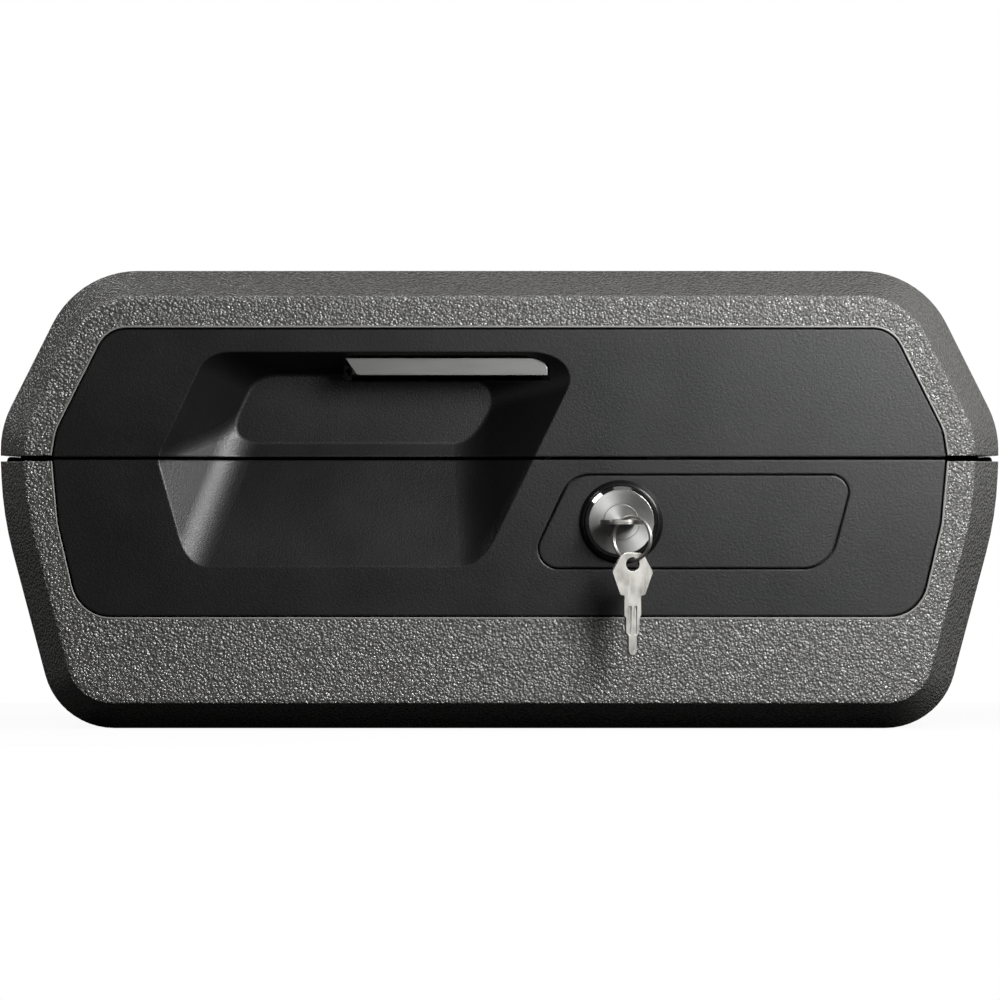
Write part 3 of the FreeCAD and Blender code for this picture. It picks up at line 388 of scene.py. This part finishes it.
def split_ring():
    """The key ring as it is made: a flat wire wound twice round."""
    low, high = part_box("key_ring")
    centre = (Vector(low) + Vector(high)) / 2
    aside = Vector((math.sin(RING_TURN), -math.cos(RING_TURN), 0))
    up = Vector((0, 0, 1))
    across = aside.cross(up)
    section = []
    for corner in range(WIRE_SIDES):
        angle = math.tau * corner / WIRE_SIDES
        section.append((WIRE_OUT * math.cos(angle), WIRE_ASIDE * math.sin(angle)))
    points = []
    for step in range(WIRE_STEPS + 1):
        share = step / WIRE_STEPS
        angle = math.tau * (WIRE_TURNS * share + WIRE_START)
        outward = aside * math.cos(angle) + up * math.sin(angle)
        crossed = smooth_step((share - CROSSING_START) / CROSSING_LENGTH)
        lie = (crossed - 0.5) * CROSSING_SHIFT
        for out, side in section:
            points.append(centre + outward * (RING_RADIUS + out) + across * (lie + side))
    mesh = bpy.data.meshes.new("split_ring")
    mesh.from_pydata(points, [], tube_faces(WIRE_SIDES, WIRE_STEPS + 1))
    for face in mesh.polygons:
        face.use_smooth = len(face.vertices) == 4
    piece = new_piece("split_ring", mesh, NICKEL)
    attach(piece, "ring")
    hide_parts("key_ring")


def rounded(corners, steps=8):
    """A closed outline through corners (across, up, radius), each corner turned to an arc."""
    points = []
    for at, (across, up, radius) in enumerate(corners):
        here = Vector((across, up))
        before = (Vector(corners[at - 1][:2]) - here).normalized()
        after = (Vector(corners[(at + 1) % len(corners)][:2]) - here).normalized()
        if radius == 0:
            points.append(here)
            continue
        half = before.angle(after) / 2
        middle = here + (before + after).normalized() * (radius / math.sin(half))
        reach = radius / math.tan(half)
        start, end = here + before * reach - middle, here + after * reach - middle
        for step in range(steps + 1):
            points.append(middle + start.slerp(end, step / steps) * radius)
    return points


def plate(outlines, depth):
    """A flat plate with holes and rounded edges, as a mesh about its middle plane, in millimetres."""
    curve = bpy.data.curves.new("plate", "CURVE")
    curve.dimensions = "2D"
    curve.fill_mode = "BOTH"
    curve.extrude = depth / 2 - KEY_EDGE
    curve.bevel_depth = KEY_EDGE
    curve.bevel_resolution = 2
    curve.offset = -KEY_EDGE
    for outline in outlines:
        add_line(curve, [(across, up, 0) for across, up in outline], True)
    return curve_mesh(curve)


def key_mesh(name):
    """A flat key about its ring hole, with two grooves along each side of its blade."""
    outline = rounded(KEY_SIDE + [(-across, up, radius) for across, up, radius in reversed(KEY_SIDE)])
    hole = []
    for step in range(HOLE_STEPS):
        angle = math.tau * step / HOLE_STEPS
        hole.append((KEY_HOLE * math.cos(angle), KEY_HOLE * math.sin(angle)))
    grooves = []
    for side in (-1, 1):
        left = side * GROOVE_ASIDE - GROOVE_HALF
        right = side * GROOVE_ASIDE + GROOVE_HALF
        grooves.append([(left, GROOVE_FOOT), (right, GROOVE_FOOT),
                        (right, GROOVE_TOP), (left, GROOVE_TOP)])
    skin_level = (KEY_CORE + KEY_SKIN) / 2
    whole = bmesh.new()
    for outlines, depth, level in (
            ([outline, hole], KEY_CORE, 0),
            ([outline, hole] + grooves, KEY_SKIN, skin_level),
            ([outline, hole] + grooves, KEY_SKIN, -skin_level)):
        layer = plate(outlines, depth)
        layer.transform(Matrix.Translation((0, 0, level)))
        whole.from_mesh(layer)
    mesh = bpy.data.meshes.new(name)
    whole.to_mesh(mesh)
    whole.free()
    return mesh


def cut_key(name, node_name, hole, up, across, body):
    """A key with a rounded bow and softened edges, in place of the CAD key."""
    mesh = key_mesh(name)
    turn = Matrix((across, up, across.cross(up))).transposed().to_4x4()
    mesh.transform(Matrix.Translation(hole) @ turn @ Matrix.Scale(MILLIMETRE, 4))
    piece = new_piece(name, mesh, NICKEL)
    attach(piece, body)
    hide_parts(node_name)


def both_keys():
    hole_in = KEY_TOP * MILLIMETRE
    low, high = (Vector(corner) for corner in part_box("key"))
    hole = Vector(((low.x + high.x) / 2, low.y + hole_in, (low.z + high.z) / 2))
    cut_key("lock_key_cut", "key", hole, Vector((0, -1, 0)), Vector((1, 0, 0)), "key")
    low, high = (Vector(corner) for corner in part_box("spare_key"))
    hole = Vector(((low.x + high.x) / 2, (low.y + high.y) / 2, high.z - hole_in))
    across = Vector((math.cos(SPARE_TURN), math.sin(SPARE_TURN), 0))
    cut_key("spare_key_cut", "spare_key", hole, Vector((0, 0, 1)), across, "spare")


def opening_edges(node, rim):
    """The edges where a shell's flat front turns back, as pairs of names, and the point of each name."""
    facings = {}
    points = {}
    mesh = node.data
    front = min(vertex.co.y for vertex in mesh.vertices)
    for face in mesh.polygons:
        corners = [mesh.vertices[index].co for index in face.vertices]
        names = [tuple(round(value, 5) for value in corner) for corner in corners]
        for at, name in enumerate(names):
            points[name] = corners[at].copy()
            pair = frozenset((name, names[at - 1]))
            facings.setdefault(pair, []).append(face.normal.y)
    chosen = []
    for pair, facing in facings.items():
        if len(pair) < 2 or len(facing) != 2:
            continue
        first, second = pair
        level = abs(first[2] - rim) < PLACE_SLACK and abs(second[2] - rim) < PLACE_SLACK
        ahead = max(first[1], second[1]) < front + PLACE_SLACK
        if ahead and not level and min(facing) < FACES_FRONT and max(facing) > TURNS_BACK:
            chosen.append((first, second))
    return chosen, points


def in_order(pairs):
    """The points of the innermost chain of edges, from one end to the other."""
    beside = {}
    for first, second in pairs:
        beside.setdefault(first, []).append(second)
        beside.setdefault(second, []).append(first)
    ends = [name for name, near in beside.items() if len(near) == 1]
    chain = [min(ends, key=lambda name: abs(name[0]))]
    before = None
    while True:
        onward = [name for name in beside[chain[-1]] if name != before]
        if not onward or len(chain) > len(pairs):
            return chain
        before = chain[-1]
        chain.append(onward[0])


def opening_lip(name, node_name, rim, body):
    """The smooth moulded bead round a shell's opening, along the edge of its front face, in a paler grey
    than the shell as a painted highlight.
    """
    pairs, points = opening_edges(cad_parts[node_name], rim)
    curve = bpy.data.curves.new(name, "CURVE")
    curve.dimensions = "3D"
    curve.bevel_depth = LIP_RADIUS
    curve.bevel_resolution = 2
    curve.use_fill_caps = True
    add_line(curve, [points[place] + Vector((0, LIP_SUNK, 0)) for place in in_order(pairs)], False)
    mesh = curve_mesh(curve)
    for face in mesh.polygons:
        face.use_smooth = True
    piece = new_piece(name, mesh, LIP_PAINTED_HIGHLIGHT)
    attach(piece, body)


def rim_ridge(name, side):
    """A low ridge on one side of the body's rim, which closes the parting gap to light."""
    points = []
    full = RIDGE_HALF - RIDGE_RAMP
    foot = BODY_RIM - RIDGE_SUNK
    rows = [(-RIDGE_HALF, RIDGE_END_SHARE), (-full, 1), (full, 1), (RIDGE_HALF, RIDGE_END_SHARE)]
    for along, rise in rows:
        top = BODY_RIM + RIDGE_HIGH * rise
        shoulder = top - RIDGE_HIGH * rise * RIDGE_CHAMFER_DROP
        section = [(RIDGE_INNER, foot), (RIDGE_INNER, shoulder), (RIDGE_INNER + RIDGE_CHAMFER, top),
                   (RIDGE_OUTER - RIDGE_CHAMFER, top), (RIDGE_OUTER, shoulder), (RIDGE_OUTER, foot)]
        for across, level in section:
            points.append((across * side, along, level))
    faces = tube_faces(len(points) // len(rows), len(rows))
    if side < 0:
        faces = [tuple(reversed(face)) for face in faces]
    mesh = bpy.data.meshes.new(name)
    mesh.from_pydata(points, [], faces)
    piece = new_piece(name, mesh, RUBBER)
    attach(piece, "chest")


split_ring()
both_keys()
opening_lip("lid_opening_lip", "lid_shell", LID_RIM, "lid")
opening_lip("body_opening_lip", "body_shell", BODY_RIM, "chest")
rim_ridge("rim_ridge_left", -1)
rim_ridge("rim_ridge_right", 1)


# floor, light and camera
def floor_pale():
    """White to the camera but for the object's faint shadow, and dark to the object."""
    material, tree, shader = new_material("floor_pale")
    shader.inputs["Base Color"].default_value = (0.82, 0.82, 0.81, 1)
    shader.inputs["Roughness"].default_value = 0.9
    glow = add(tree, "ShaderNodeEmission", {"Strength": 1.0})
    seen = add(tree, "ShaderNodeLightPath")
    dark = add(tree, "ShaderNodeBsdfDiffuse", {"Color": (0.03, 0.03, 0.03, 1)})
    pale = add(tree, "ShaderNodeMixShader", {0: 0.93})
    link(tree, shader.outputs["BSDF"], pale.inputs[1])
    link(tree, glow.outputs["Emission"], pale.inputs[2])
    both = add(tree, "ShaderNodeMixShader")
    link(tree, seen.outputs["Is Camera Ray"], both.inputs[0])
    link(tree, dark.outputs["BSDF"], both.inputs[1])
    link(tree, pale.outputs["Shader"], both.inputs[2])
    link(tree, both.outputs["Shader"], tree.nodes["Material Output"].inputs["Surface"])
    return material


def stage_floor():
    mesh = bpy.data.meshes.new("floor")
    corners = [(-FLOOR_HALF, FLOOR_NEAR, 0), (FLOOR_HALF, FLOOR_NEAR, 0),
               (FLOOR_HALF, FLOOR_FAR, 0), (-FLOOR_HALF, FLOOR_FAR, 0)]
    mesh.from_pydata(corners, [], [(0, 1, 2, 3)])
    floor = new_piece("floor", mesh, floor_pale())


def world_light():
    """White to the camera and to reflections that look on towards the background, dim elsewhere."""
    world = bpy.data.worlds.new("studio")
    scene.world = world
    world.use_nodes = True
    tree = world.node_tree
    tree.nodes.clear()
    out = add(tree, "ShaderNodeOutputWorld")
    seen = add(tree, "ShaderNodeLightPath")
    white = add(tree, "ShaderNodeBackground", {"Color": (1, 1, 1, 1), "Strength": 1.0})
    soft = add(tree, "ShaderNodeBackground", {"Color": (1, 1, 1, 1), "Strength": 0.035})
    course = add(tree, "ShaderNodeTexCoord")
    parts = add(tree, "ShaderNodeSeparateXYZ")
    link(tree, course.outputs["Generated"], parts.inputs["Vector"])
    beyond = spread(tree, parts.outputs["Y"], 0.0, 1.0, start=0.9, end=0.99)
    mirrored = calculate(tree, "MAXIMUM", seen.outputs["Is Glossy Ray"],
                         seen.outputs["Is Transmission Ray"])
    shown = calculate(tree, "MAXIMUM", seen.outputs["Is Camera Ray"],
                      calculate(tree, "MULTIPLY", mirrored, beyond))
    mix = add(tree, "ShaderNodeMixShader")
    link(tree, shown, mix.inputs[0])
    link(tree, soft.outputs["Background"], mix.inputs[1])
    link(tree, white.outputs["Background"], mix.inputs[2])
    link(tree, mix.outputs["Shader"], out.inputs["Surface"])


def softbox(name, place, aim, size, power):
    light = bpy.data.lights.new(name, "AREA")
    light.shape = "RECTANGLE"
    light.size, light.size_y = size
    light.energy = power
    lamp = bpy.data.objects.new(name, light)
    lamp.visible_camera = False
    lamp.location = place
    lamp.rotation_euler = (Vector(aim) - Vector(place)).to_track_quat("-Z", "Y").to_euler()
    scene.collection.objects.link(lamp)


def front_camera():
    lens = bpy.data.cameras.new("camera")
    lens.sensor_width = SENSOR_WIDTH
    lens.lens = SENSOR_WIDTH * CAMERA_AWAY / VIEWED_WIDTH
    camera = bpy.data.objects.new("camera", lens)
    camera.location = (CAMERA_X, VIEWED_Y - CAMERA_AWAY, CAMERA_Z)
    camera.rotation_euler = (math.radians(90), 0, 0)
    scene.collection.objects.link(camera)
    scene.camera = camera


stage_floor()
world_light()
for settings in SOFTBOXES:
    softbox(*settings)
front_camera()
scene.view_settings.view_transform = "Standard"
